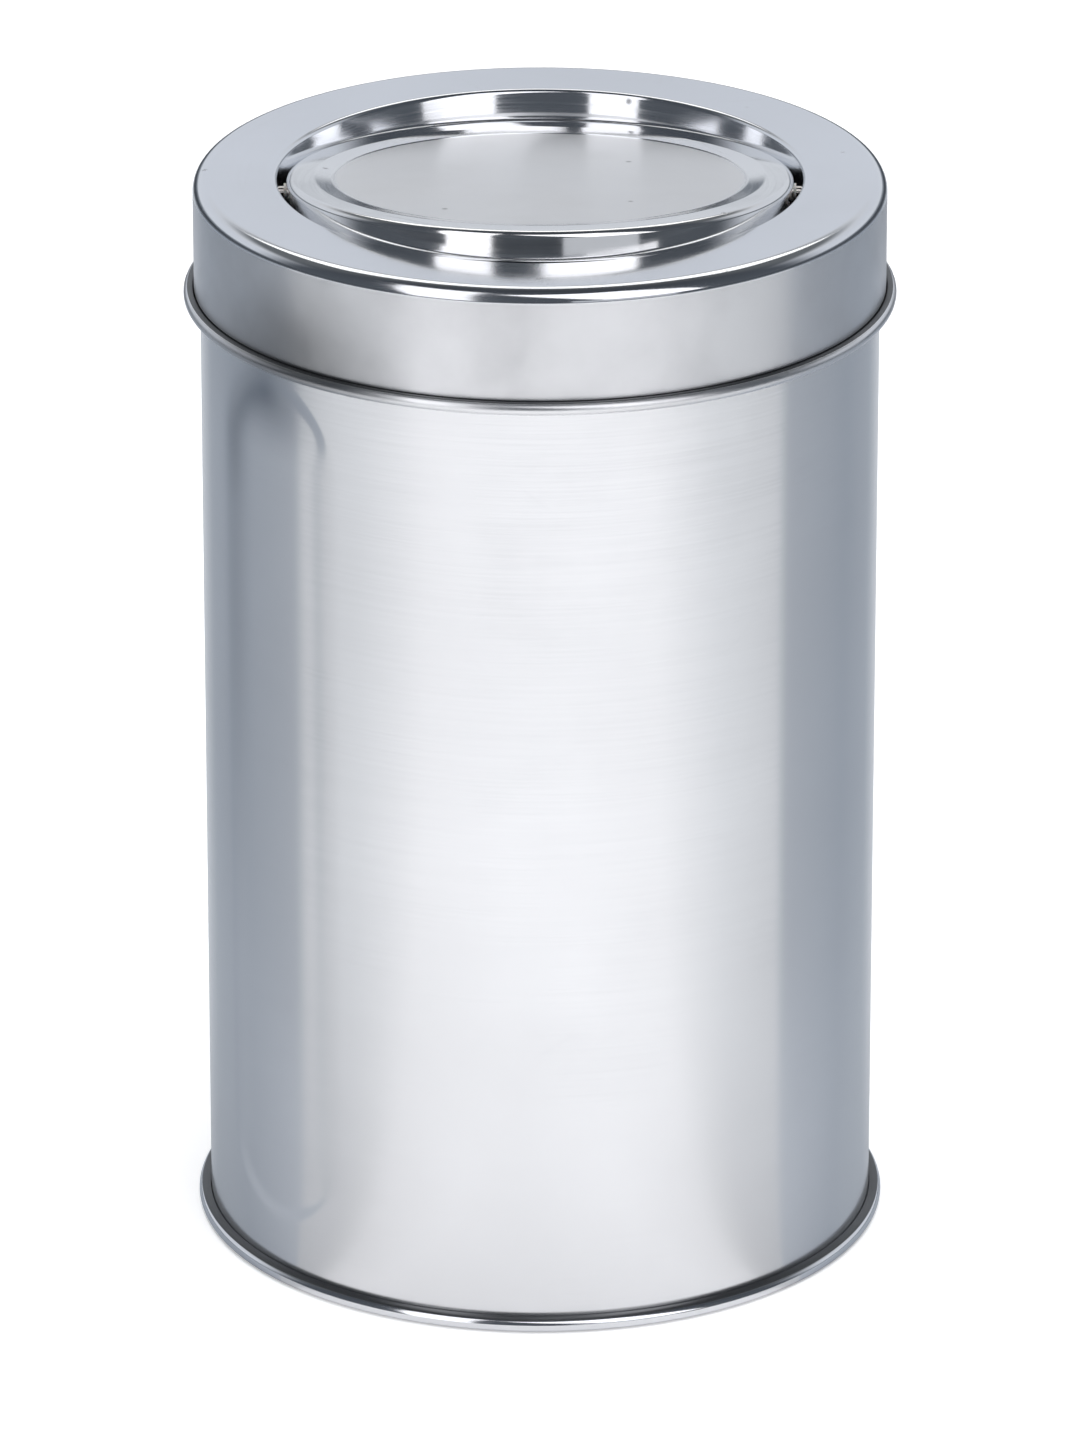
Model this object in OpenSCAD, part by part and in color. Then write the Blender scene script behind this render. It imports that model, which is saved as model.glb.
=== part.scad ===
// Countertop waste bin with a swing lid.
// A rolled steel body stands on a pressed base, a lid with a round opening lifts off it,
// and a balanced flap swings in the opening on two short pins.
// Millimetres, +Z up. The origin is the centre of the foot, on the surface the bin stands on.
// X runs along the flap's pivot. The front is -Y, where the resting flap's raised edge is.

/* [Body] */
// Outside diameter of the rolled body
body_d = 117.8; // [106:0.2:140]
// Height from the table to the top of the lid
bin_h = 192.4; // [120:0.2:260]
// Thickness of the sheet that body, lid and flap are made of
sheet_t = 0.5; // [0.4:0.05:0.6]
// Diameter of the wire rolled into the body's top edge
rim_wire_d = 1.1; // [0.8:0.1:1.6]
// Width of the lap at the side seam
seam_w = 5; // [3:0.5:10]

/* [Pressed panel] */
// Width of the upright pressed panel
panel_w = 31.5; // [15:0.5:40]
// Depth of the panel below the body's surface
panel_depth = 0.4; // [0.1:0.05:0.45]
// Angle of the panel from the front, towards the left
panel_turn = 51; // [30:1:90]
// Distance from the base hoop up to the panel
panel_low_gap = 8.4; // [4:0.2:30]
// Distance from the panel up to the lid's bead
panel_top_gap = 1.6; // [1:0.2:30]

/* [Base] */
// Thickness of the base plate
base_t = 0.8; // [0.5:0.1:1.2]
// Thickness of the hoop's rolled strip
hoop_t = 0.65; // [0.5:0.05:0.9]
// How far the hoop stands out from the body
hoop_out = 2.15; // [1.7:0.05:3]
// Height of the floor's underside above the table
floor_h = 4.7; // [3:0.1:12]
// Radius of the raised centre of the floor
floor_step_r = 42; // [20:1:46]
// Height of the raised centre above the rest of the floor
floor_step_h = 0.8; // [0.4:0.1:1.6]

/* [Lid] */
// Radial gap between the body and the lid's skirt
lid_gap = 0.6; // [0.3:0.05:1]
// Height of the lid from its top to the foot of its bead
lid_h = 22; // [16:0.5:40]
// Outside radius of the shoulder between top and skirt
shoulder_r = 2.5; // [1.2:0.1:3]
// Diameter of the wire rolled into the skirt's bead
bead_wire_d = 1.2; // [0.8:0.1:1.8]
// Clear diameter of the opening in the lid
opening_d = 90; // [80:0.2:96]
// Radius of the rolled lip round the opening
lip_r = 1.3; // [0.8:0.1:1.6]
// Depth of the neck below the top of the lid
neck_h = 9.5; // [8:0.25:14]
// Width of the flange at the foot of the neck
neck_flange_w = 2; // [1:0.25:3]

/* [Flap] */
// Gap all round between the flap and the neck
flap_gap = 1; // [0.7:0.1:3]
// Height of the flap's edge, from its crest to the foot of its wall
flap_edge_h = 5.4; // [2.5:0.1:6]
// Outside radius of the flap's rounded edge
flap_edge_r = 1.2; // [0.9:0.1:1.5]
// Width of the raised land round the flap
land_w = 5; // [3:0.25:10]
// Width of the slope between the land and the dished centre
slope_w = 2; // [1.5:0.1:4]
// Depth of the dished centre below the land
dish_depth = 0.5; // [0.2:0.05:0.8]
// Angle that the resting flap is tilted, front edge up
rest_tilt = 6.4; // [0:0.2:10]

/* [Pivot] */
// Depth of the pivot below the top of the lid
pivot_drop = 3.2; // [3:0.1:5]
// Height of the dished centre's upper face above the pivot
flap_rise = 2.4; // [2.3:0.1:3.4]
// Diameter of a pivot pin
pin_d = 1.8; // [1.4:0.1:2]
// Diameter of a pivot pin's head
pin_head_d = 3.2; // [2.6:0.1:3.4]
// Thickness of a pivot pin's head
pin_head_t = 0.8; // [0.5:0.1:1.5]
// Radial running clearance between pin and bush
run_clear = 0.05; // [0.02:0.01:0.1]
// Wall thickness of a bush's barrel
bush_wall = 0.45; // [0.35:0.05:0.5]
// How far a bush's flange stands out beyond its barrel
bush_flange = 0.3; // [0.2:0.05:0.3]
// Thickness of a bush's flange
bush_flange_t = 0.6; // [0.4:0.1:1]
// Thickness of a pivot plate
plate_t = 0.6; // [0.4:0.1:1]
// Width of a pivot plate
plate_w = 9; // [6:0.5:14]
// Radius of the round ear that carries a bush
ear_r = 3.2; // [2.6:0.1:4]

/* [Counterweight] */
// Length of the weight bar
weight_l = 62; // [54:1:66]
// Width of the weight bar
weight_w = 10; // [7:0.5:16]
// Thickness of the weight bar
weight_t = 5; // [3:0.25:8]
// Depth of the bar's upper face below the pivot
weight_drop = 3.6; // [3:0.1:8]
// Thickness of a hanger's strip
hanger_t = 0.8; // [0.6:0.1:1.2]
// Width of a hanger's strip
hanger_w = 10; // [7:0.5:16]
// Length of a hanger's foot and of its ledge
hanger_foot = 8; // [7:0.5:9]
// Distance from a hanger's leg out to the end of the bar
hanger_inset = 5; // [4:0.5:8]
// Diameter of a rivet's shank
rivet_d = 3; // [2:0.25:3.5]
// Diameter of a rivet's head
rivet_head_d = 5; // [4:0.25:6]
// Thickness of a rivet's head
rivet_head_t = 1.2; // [0.8:0.1:1.5]

/* [Hidden] */
$fn = 128;
eps = 0.01;

// Clearances that the pieces share
wire_clear = 0.05;
hub_clear = 0.1;
rest_clear = 0.3;
seam_clear = 1;

// Body and base
body_r = body_d / 2;
body_in_r = body_r - sheet_t;
hoop_r = body_r + hoop_out;
hoop_corner_r = (hoop_out - hoop_t) * 0.65;
hoop_h = 2 * hoop_t + base_t + sheet_t;
flange_r = hoop_r - hoop_t - hub_clear;
shell_foot = hoop_t + base_t;
hub_r = body_in_r - hub_clear;
hub_in_r = hub_r - base_t;
floor_top = floor_h + base_t;
floor_slope_w = 1.5;

// Curled top edge of the body, just under the lid's top
rim_curl_in_r = rim_wire_d / 2 + wire_clear;
rim_curl_r = rim_curl_in_r + sheet_t;
rim_top = bin_h - sheet_t - rest_clear;
rim_curl_x = body_r - rim_curl_r;
rim_curl_z = rim_top - rim_curl_r;

// Lid
lid_in_r = body_r + lid_gap;
lid_r = lid_in_r + sheet_t;
lid_foot = bin_h - lid_h;
bead_in_r = bead_wire_d / 2 + wire_clear;
bead_r = bead_in_r + sheet_t;
bead_x = lid_in_r + bead_r;
bead_z = lid_foot + bead_r;
neck_r = opening_d / 2;
neck_out_r = neck_r + sheet_t;
neck_foot = bin_h - neck_h;

// Side seam and pressed panel
seam_low = floor_top + floor_step_h + seam_clear;
seam_top = rim_curl_z - rim_curl_r - seam_clear;
seam_groove_w = 0.6;
seam_groove_depth = 0.15;
panel_low = hoop_h + panel_low_gap;
panel_top = lid_foot - panel_top_gap;
panel_hem = sheet_t;

// Pivot and bushes
pivot_h = bin_h - pivot_drop;
bush_r = pin_d / 2 + run_clear + bush_wall;
bush_flange_r = bush_r + bush_flange;
bush_proud = 0.25;
plate_r = neck_out_r + plate_t;
plate_gap = 0.3;
plate_low = neck_foot + sheet_t + plate_gap;
plate_top = bin_h - lip_r - plate_gap;

// Flap, in its own frame: pivot at the origin, dished centre level
flap_r = neck_r - flap_gap;
flap_in_r = flap_r - sheet_t;
crest = flap_rise + dish_depth;
edge_x = flap_r - flap_edge_r;
edge_z = crest - flap_edge_r;
flap_foot = crest - flap_edge_h;
flap_under = flap_rise - sheet_t;
land_r = flap_r - land_w;
dish_r = land_r - slope_w;
slope_turn = 2 * atan(dish_depth / slope_w);
slope_r = slope_w / (2 * sin(slope_turn));
bush_seat = sqrt(flap_in_r * flap_in_r - bush_flange_r * bush_flange_r);
pin_tip = bush_seat - bush_flange_t - 1;

// Hangers and weight, below the flap
hanger_x = weight_l / 2 - hanger_inset;
ledge_top = hanger_t - weight_drop;
weight_low = -weight_drop - weight_t;
rivet_x = hanger_x + hanger_t - hanger_foot / 2;

// Volumes and first moments of the swinging pieces, which set how far the weight sits off
// the middle so that the flap balances at its resting tilt
dish_vol = PI * dish_r * dish_r * sheet_t;
slope_vol = PI * (land_r * land_r - dish_r * dish_r) * sheet_t;
land_vol = PI * (edge_x * edge_x - land_r * land_r) * sheet_t;
edge_mid_r = flap_edge_r - sheet_t / 2;
edge_vol = PI * PI * (edge_x + 0.64 * edge_mid_r) * edge_mid_r * sheet_t;
wall_vol = 2 * PI * (flap_r - sheet_t / 2) * (edge_z - flap_foot) * sheet_t;
pan_moment = dish_vol * (flap_rise - sheet_t / 2)
    + slope_vol * (flap_rise + dish_depth / 2 - sheet_t / 2)
    + land_vol * (crest - sheet_t / 2)
    + edge_vol * (edge_z + 0.64 * edge_mid_r)
    + wall_vol * (edge_z + flap_foot) / 2;
bar_vol = weight_l * weight_w * weight_t;
hanger_foot_vol = hanger_foot * hanger_w * hanger_t;
hanger_leg_h = flap_under + weight_drop - 2 * hanger_t;
hanger_leg_vol = hanger_leg_h * hanger_w * hanger_t;
rivet_head_vol = PI * rivet_head_d * rivet_head_d / 4 * rivet_head_t;
weight_vol = bar_vol + 2 * (2 * hanger_foot_vol + hanger_leg_vol + 2 * rivet_head_vol);
weight_moment = -bar_vol * (weight_drop + weight_t / 2)
    + 2 * hanger_foot_vol * (flap_under - hanger_t / 2)
    + 2 * hanger_foot_vol * (hanger_t / 2 - weight_drop)
    + 2 * hanger_leg_vol * (flap_under - weight_drop) / 2
    + 2 * rivet_head_vol * (ledge_top + rivet_head_t / 2)
    + 2 * rivet_head_vol * (weight_low - rivet_head_t / 2);
weight_y = -tan(rest_tilt) * (pan_moment + weight_moment) / weight_vol;

// Section: a rectangle given by its corners
module box2(x0, x1, y0, y1) {
    translate([x0, y0])
        square([x1 - x0, y1 - y0]);
}

// Section: a bend of a sheet, as the part of a ring between two directions less than 180 apart
module bend2(x, y, outer_r, inner_r, from, turn) {
    reach = 2 * outer_r;
    translate([x, y])
        intersection() {
            difference() {
                circle(r = outer_r);
                circle(r = inner_r);
            }
            polygon([
                [0, 0],
                reach * [cos(from), sin(from)],
                reach * [cos(from + turn / 2), sin(from + turn / 2)],
                reach * [cos(from + turn), sin(from + turn)],
            ]);
        }
}

// Section: a closed curl of the sheet
module curl2(x, y, outer_r, inner_r) {
    translate([x, y])
        difference() {
            circle(r = outer_r);
            circle(r = inner_r);
        }
}

// A plain round tube
module tube(outer_r, inner_r, low, top) {
    translate([0, 0, low])
        difference() {
            cylinder(r = outer_r, h = top - low);
            translate([0, 0, -1])
                cylinder(r = inner_r, h = top - low + 2);
        }
}

// A round bar along X between two places
module bar_x(r, x0, x1) {
    translate([x0, 0, 0])
        rotate([0, 90, 0])
            cylinder(r = r, h = x1 - x0);
}

// An upright prism with round ends that points outwards along X
module panel_prism(w, low, top) {
    reach = body_r + 1;
    translate([0, -w / 2, low + w / 2])
        cube([reach, w, top - low - w]);
    translate([0, 0, low + w / 2])
        bar_x(w / 2, 0, reach);
    translate([0, 0, top - w / 2])
        bar_x(w / 2, 0, reach);
}

// Turned to where the pressed panel is
module at_panel() {
    rotate([0, 0, -90 - panel_turn])
        children();
}

// Placed at the pivot, at the tilt where the flap rests
module at_rest_tilt() {
    translate([0, 0, pivot_h])
        rotate([-rest_tilt, 0, 0])
            children();
}

module body_shell() {
    color([0.78, 0.80, 0.83])
        difference() {
            union() {
                difference() {
                    rotate_extrude()
                        union() {
                            box2(body_in_r, flange_r, shell_foot, shell_foot + sheet_t);
                            box2(body_in_r, body_r, shell_foot, rim_curl_z);
                            curl2(rim_curl_x, rim_curl_z, rim_curl_r, rim_curl_in_r);
                        }
                    intersection() {
                        tube(body_r + 1, body_r - panel_depth, panel_low, panel_top);
                        at_panel()
                            panel_prism(panel_w, panel_low, panel_top);
                    }
                }
                intersection() {
                    tube(body_in_r + eps, body_in_r - panel_depth,
                        panel_low - panel_hem, panel_top + panel_hem);
                    at_panel()
                        panel_prism(panel_w + 2 * panel_hem, panel_low - panel_hem, panel_top + panel_hem);
                }
                intersection() {
                    tube(body_in_r + eps, body_in_r - sheet_t, seam_low, seam_top);
                    translate([-seam_w / 2, 0, seam_low])
                        cube([seam_w, body_r, seam_top - seam_low]);
                }
            }
            intersection() {
                tube(body_r + 1, body_r - seam_groove_depth, hoop_h, seam_top);
                translate([-seam_groove_w / 2, 0, hoop_h])
                    cube([seam_groove_w, body_r + 1, seam_top - hoop_h]);
            }
        }
}

module rim_wire() {
    color([0.62, 0.63, 0.65])
        translate([0, 0, rim_curl_z])
            rotate_extrude()
                translate([rim_curl_x, 0])
                    circle(d = rim_wire_d, $fn = 32);
}

module base_plate() {
    color([0.72, 0.74, 0.77])
        rotate_extrude()
            union() {
                box2(hub_in_r, flange_r, hoop_t, shell_foot);
                box2(hub_in_r, hub_r, hoop_t, floor_top);
                box2(floor_step_r + floor_slope_w, hub_r, floor_h, floor_top);
                polygon([
                    [floor_step_r, floor_h + floor_step_h],
                    [floor_step_r + floor_slope_w, floor_h],
                    [floor_step_r + floor_slope_w, floor_top],
                    [floor_step_r, floor_top + floor_step_h],
                ]);
                box2(0, floor_step_r, floor_h + floor_step_h, floor_top + floor_step_h);
            }
}

module base_hoop() {
    color([0.80, 0.82, 0.85])
        rotate_extrude()
            difference() {
                union() {
                    box2(hub_in_r, hoop_r - hoop_corner_r, 0, hoop_t);
                    box2(body_r, hoop_r - hoop_corner_r, 0, hoop_h);
                    box2(body_r, hoop_r, hoop_corner_r, hoop_h - hoop_corner_r);
                    translate([hoop_r - hoop_corner_r, hoop_corner_r])
                        circle(r = hoop_corner_r);
                    translate([hoop_r - hoop_corner_r, hoop_h - hoop_corner_r])
                        circle(r = hoop_corner_r);
                }
                box2(body_r - 1, flange_r + hub_clear, hoop_t, hoop_h - hoop_t);
            }
}

module lid_cover() {
    color([0.80, 0.82, 0.85])
        difference() {
            rotate_extrude()
                union() {
                    box2(neck_r + lip_r, lid_r - shoulder_r, bin_h - sheet_t, bin_h);
                    bend2(lid_r - shoulder_r, bin_h - shoulder_r, shoulder_r, shoulder_r - sheet_t, 0, 90);
                    box2(lid_in_r, lid_r, bead_z, bin_h - shoulder_r);
                    curl2(bead_x, bead_z, bead_r, bead_in_r);
                    bend2(neck_r + lip_r, bin_h - lip_r, lip_r, lip_r - sheet_t, 90, 90);
                    box2(neck_r, neck_out_r, neck_foot, bin_h - lip_r);
                    box2(neck_r, neck_out_r + neck_flange_w, neck_foot, neck_foot + sheet_t);
                }
            translate([0, 0, pivot_h])
                bar_x(pin_d / 2, -plate_r - 1, plate_r + 1);
        }
}

module lid_bead_wire() {
    color([0.62, 0.63, 0.65])
        translate([0, 0, bead_z])
            rotate_extrude()
                translate([bead_x, 0])
                    circle(d = bead_wire_d, $fn = 32);
}

// A plate on the right side of the neck, bent to its curve
module pivot_plate() {
    color([0.66, 0.67, 0.69])
        difference() {
            intersection() {
                tube(plate_r, neck_out_r, plate_low, plate_top);
                translate([0, -plate_w / 2, plate_low])
                    cube([plate_r + 1, plate_w, plate_top - plate_low]);
            }
            translate([0, 0, pivot_h])
                bar_x(pin_d / 2, neck_r - 1, plate_r + 1);
        }
}

// A pin for the right side: its head behind the plate, its tip inside the flap's ear
module pivot_pin() {
    color([0.74, 0.70, 0.66])
        translate([0, 0, pivot_h]) {
            bar_x(pin_d / 2, pin_tip, plate_r + eps);
            bar_x(pin_head_d / 2, plate_r, plate_r + pin_head_t);
        }
}

module flap_pan() {
    color([0.82, 0.84, 0.87])
        at_rest_tilt()
            difference() {
                union() {
                    rotate_extrude()
                        union() {
                            box2(0, dish_r, flap_under, flap_rise);
                            bend2(dish_r, flap_rise + slope_r, slope_r + sheet_t, slope_r, -90, slope_turn);
                            bend2(land_r, crest - slope_r, slope_r, slope_r - sheet_t, 90, slope_turn);
                            box2(land_r, edge_x, crest - sheet_t, crest);
                            bend2(edge_x, edge_z, flap_edge_r, flap_edge_r - sheet_t, 0, 90);
                            box2(flap_in_r, flap_r, flap_foot, edge_z);
                        }
                    intersection() {
                        tube(flap_r, flap_in_r, -ear_r, edge_z);
                        bar_x(ear_r, -flap_r - 1, flap_r + 1);
                    }
                }
                bar_x(bush_r, -flap_r - 1, flap_r + 1);
            }
}

// A bush for the right ear, flange inside
module pivot_bush() {
    color([0.45, 0.44, 0.42])
        at_rest_tilt()
            difference() {
                union() {
                    bar_x(bush_r, bush_seat - bush_flange_t, flap_r + bush_proud);
                    bar_x(bush_flange_r, bush_seat - bush_flange_t, bush_seat);
                }
                bar_x(pin_d / 2 + run_clear, bush_seat - bush_flange_t - 1, flap_r + bush_proud + 1);
            }
}

// A hanger for the right side: foot under the flap, leg down, ledge inwards over the bar
module weight_hanger() {
    color([0.66, 0.67, 0.69])
        at_rest_tilt()
            translate([0, weight_y, 0])
                difference() {
                    union() {
                        translate([hanger_x, -hanger_w / 2, flap_under - hanger_t])
                            cube([hanger_foot, hanger_w, hanger_t]);
                        translate([hanger_x, -hanger_w / 2, -weight_drop])
                            cube([hanger_t, hanger_w, flap_under + weight_drop]);
                        translate([hanger_x + hanger_t - hanger_foot, -hanger_w / 2, -weight_drop])
                            cube([hanger_foot, hanger_w, hanger_t]);
                    }
                    translate([rivet_x, 0, -weight_drop - 1])
                        cylinder(d = rivet_d, h = hanger_t + 2);
                }
}

module counterweight() {
    color([0.50, 0.51, 0.53])
        at_rest_tilt()
            translate([0, weight_y, 0])
                difference() {
                    translate([-weight_l / 2, -weight_w / 2, weight_low])
                        cube([weight_l, weight_w, weight_t]);
                    for (side = [-1, 1])
                        translate([side * rivet_x, 0, weight_low - 1])
                            cylinder(d = rivet_d, h = weight_t + 2);
                }
}

module weight_rivets() {
    color([0.70, 0.71, 0.73])
        at_rest_tilt()
            for (side = [-1, 1])
                translate([side * rivet_x, weight_y, 0]) {
                    translate([0, 0, weight_low - rivet_head_t])
                        cylinder(d = rivet_head_d, h = rivet_head_t);
                    translate([0, 0, weight_low - eps])
                        cylinder(d = rivet_d, h = ledge_top - weight_low + 2 * eps);
                    translate([0, 0, ledge_top])
                        cylinder(d = rivet_head_d, h = rivet_head_t);
                }
}

body_shell();
rim_wire();
base_plate();
base_hoop();
lid_cover();
lid_bead_wire();
mirror([1, 0, 0]) pivot_plate();  // left_pivot_plate
pivot_plate();  // right_pivot_plate
mirror([1, 0, 0]) pivot_pin();  // left_pivot_pin
pivot_pin();  // right_pivot_pin
flap_pan();
mirror([1, 0, 0]) pivot_bush();  // left_pivot_bush
pivot_bush();  // right_pivot_bush
mirror([1, 0, 0]) weight_hanger();  // left_weight_hanger
weight_hanger();  // right_weight_hanger
counterweight();
weight_rivets();
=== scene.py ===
"""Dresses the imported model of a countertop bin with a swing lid, and sets it in a small studio.

Lengths are millimetres unless a name ends in _m, and a mesh is scaled to metres when it is made.
Angles are degrees. Azimuth 0 is the side of the camera (-Y) and 90 is the bin's right (+X).
"""
import logging
import math
from dataclasses import dataclass
from enum import Enum

import bpy
import numpy as np
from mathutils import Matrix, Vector


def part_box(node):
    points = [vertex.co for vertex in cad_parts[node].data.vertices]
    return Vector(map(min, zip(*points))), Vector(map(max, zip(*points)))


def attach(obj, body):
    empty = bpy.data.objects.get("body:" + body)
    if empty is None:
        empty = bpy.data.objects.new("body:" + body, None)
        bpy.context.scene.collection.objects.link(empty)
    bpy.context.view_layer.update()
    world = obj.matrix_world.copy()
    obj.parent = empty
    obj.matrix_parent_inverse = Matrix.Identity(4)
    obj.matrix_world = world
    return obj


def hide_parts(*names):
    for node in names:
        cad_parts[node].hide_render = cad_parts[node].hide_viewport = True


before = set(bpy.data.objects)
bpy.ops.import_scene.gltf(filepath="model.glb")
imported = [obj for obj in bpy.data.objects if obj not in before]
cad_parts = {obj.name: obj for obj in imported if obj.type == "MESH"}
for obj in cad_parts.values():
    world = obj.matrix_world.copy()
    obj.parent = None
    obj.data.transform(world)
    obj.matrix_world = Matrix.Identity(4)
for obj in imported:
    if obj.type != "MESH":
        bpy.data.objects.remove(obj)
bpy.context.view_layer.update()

MM = 0.001
MICRON = 1e-6
log = logging.getLogger("bin")

Points = np.ndarray
Triple = tuple[float, float, float]
Colour = Triple
Object = bpy.types.Object
Material = bpy.types.Material
Socket = bpy.types.NodeSocket

# Thickness of the body's, lid's and flap's sheet, and the body's outer radius.
SHEET_T = 0.5
WALL_R = 58.9
# Height of the flap's pivot, and how far the flap's near edge is turned up at rest, in degrees.
PIVOT_Z = 189.2
TILT = 6.4


class Grain(Enum):
    """Which way the fine lines of a rolled or spun sheet run."""

    NONE = "none"
    ROUND = "round"


# Sections

def paired(*values: Points | float) -> Points:
    """Puts values side by side as coordinates, each repeated to the shape of the largest."""
    return np.stack(np.broadcast_arrays(*values), axis=-1)


def joined(*parts: Points) -> Points:
    """Strings paths together.

    Args:
        parts: paths of (radius, height) points, each starting where the one before ends.

    Returns:
        One path, without the points that repeat the one before.
    """
    path = np.vstack(parts)
    keep = np.ones(len(path), bool)
    keep[1:] = np.linalg.norm(np.diff(path, axis=0), axis=1) > 0.005
    return path[keep]


def arc(x: float, z: float, radius: float, start: float, end: float, step: float = 7.5) -> Points:
    """A round stretch: centre plus radius times (cos a, sin a), with a from start to end.

    Args:
        x: radius of the centre from the bin's axis.
        z: height of the centre.
        radius: radius of the stretch.
        start: first direction.
        end: last direction.
        step: most degrees from one point to the next.

    Returns:
        The points of the stretch.
    """
    count = int(math.ceil(abs(end - start) / step)) + 1
    a = np.radians(np.linspace(start, end, count))
    return paired(x + radius * np.cos(a), z + radius * np.sin(a))


def bent(*corners: Triple, step: float = 9.0) -> Points:
    """A path of straight stretches with round corners.

    A corner's arc touches both stretches, radius times tan(turn / 2) away from the corner.

    Args:
        corners: (radius from the axis, height, bend radius) of each corner.
        step: most degrees from one point of a bend to the next.

    Returns:
        The points of the path.
    """
    places = np.array([c[:2] for c in corners], float)
    parts = [places[:1]]
    for i in range(1, len(corners) - 1):
        bend = corners[i][2]
        before = places[i] - places[i - 1]
        after = places[i + 1] - places[i]
        before = before / np.linalg.norm(before)
        after = after / np.linalg.norm(after)
        side = math.copysign(1.0, before[0] * after[1] - before[1] * after[0])
        turn = math.degrees(math.acos(float(np.clip(before @ after, -1.0, 1.0))))
        start = places[i] - before * bend * math.tan(math.radians(turn / 2))
        centre = start + side * bend * np.array([-before[1], before[0]])
        first = math.degrees(math.atan2(start[1] - centre[1], start[0] - centre[0]))
        parts.append(arc(centre[0], centre[1], bend, first, first + side * turn, step))
    parts.append(places[-1:])
    return joined(*parts)


def sheet(path: Points, thickness: float, from_axis: bool = False) -> Points:
    """The outline of a sheet that follows a path.

    The path is moved by half the thickness to either side, along its normals, and each free end
    is a half circle.

    Args:
        path: centre line of the sheet.
        thickness: thickness of the sheet.
        from_axis: whether the path starts on the bin's axis, where it gets no end.

    Returns:
        The outline's points, all the way round.
    """
    half = thickness / 2
    way = np.gradient(path, axis=0)
    way /= np.linalg.norm(way, axis=1, keepdims=True)
    out = paired(-way[:, 1], way[:, 0])
    left, right = path + half * out, path - half * out
    last = math.degrees(math.atan2(out[-1, 1], out[-1, 0]))
    first = math.degrees(math.atan2(out[0, 1], out[0, 0]))
    parts = [left, arc(*path[-1], half, last, last - 180, 22.5), right[::-1]]
    if not from_axis:
        parts.append(arc(*path[0], half, first + 180, first, 22.5)[:-1])
    return joined(*parts)


def graded(low: float, high: float, coarse: float, *zones: Triple) -> Points:
    """Places from low to high, closer together in some zones.

    The density of places is 1 / coarse, or 1 / fine inside a zone with a soft edge, and a place
    stands wherever the running total of the density reaches the next whole number.

    Args:
        low: first place.
        high: last place.
        coarse: spacing outside the zones.
        zones: (middle, half width, fine spacing) of each zone.

    Returns:
        The places in order, with both ends.
    """
    x = np.linspace(low, high, 6001)
    density = np.full(x.shape, 1.0 / coarse)
    for middle, half, fine in zones:
        edge = np.clip((half * 1.3 + fine - np.abs(x - middle)) / (half * 0.3 + fine), 0, 1)
        density = np.maximum(density, edge * edge * (3 - 2 * edge) / fine)
    total = np.concatenate([[0.0], np.cumsum((density[1:] + density[:-1]) / 2 * np.diff(x))])
    return np.interp(np.linspace(0, total[-1], int(round(total[-1])) + 1), total, x)


def smooth(x: Points) -> Points:
    """A soft step: 0 below 0, 1 above 1, and 3x^2 - 2x^3 between."""
    t = np.clip(x, 0, 1)
    return t * t * (3 - 2 * t)


def enclosed(outline: Points) -> float:
    """Twice the area inside an outline, below 0 where it runs clockwise."""
    after = np.roll(outline, -1, axis=0)
    return float(np.sum(outline[:, 0] * after[:, 1] - after[:, 0] * outline[:, 1]))


def box_of(node: str) -> Points:
    """Lowest and highest corner of a CAD node at rest, in millimetres."""
    return np.array(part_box(node)) / MM


# Meshes

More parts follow.
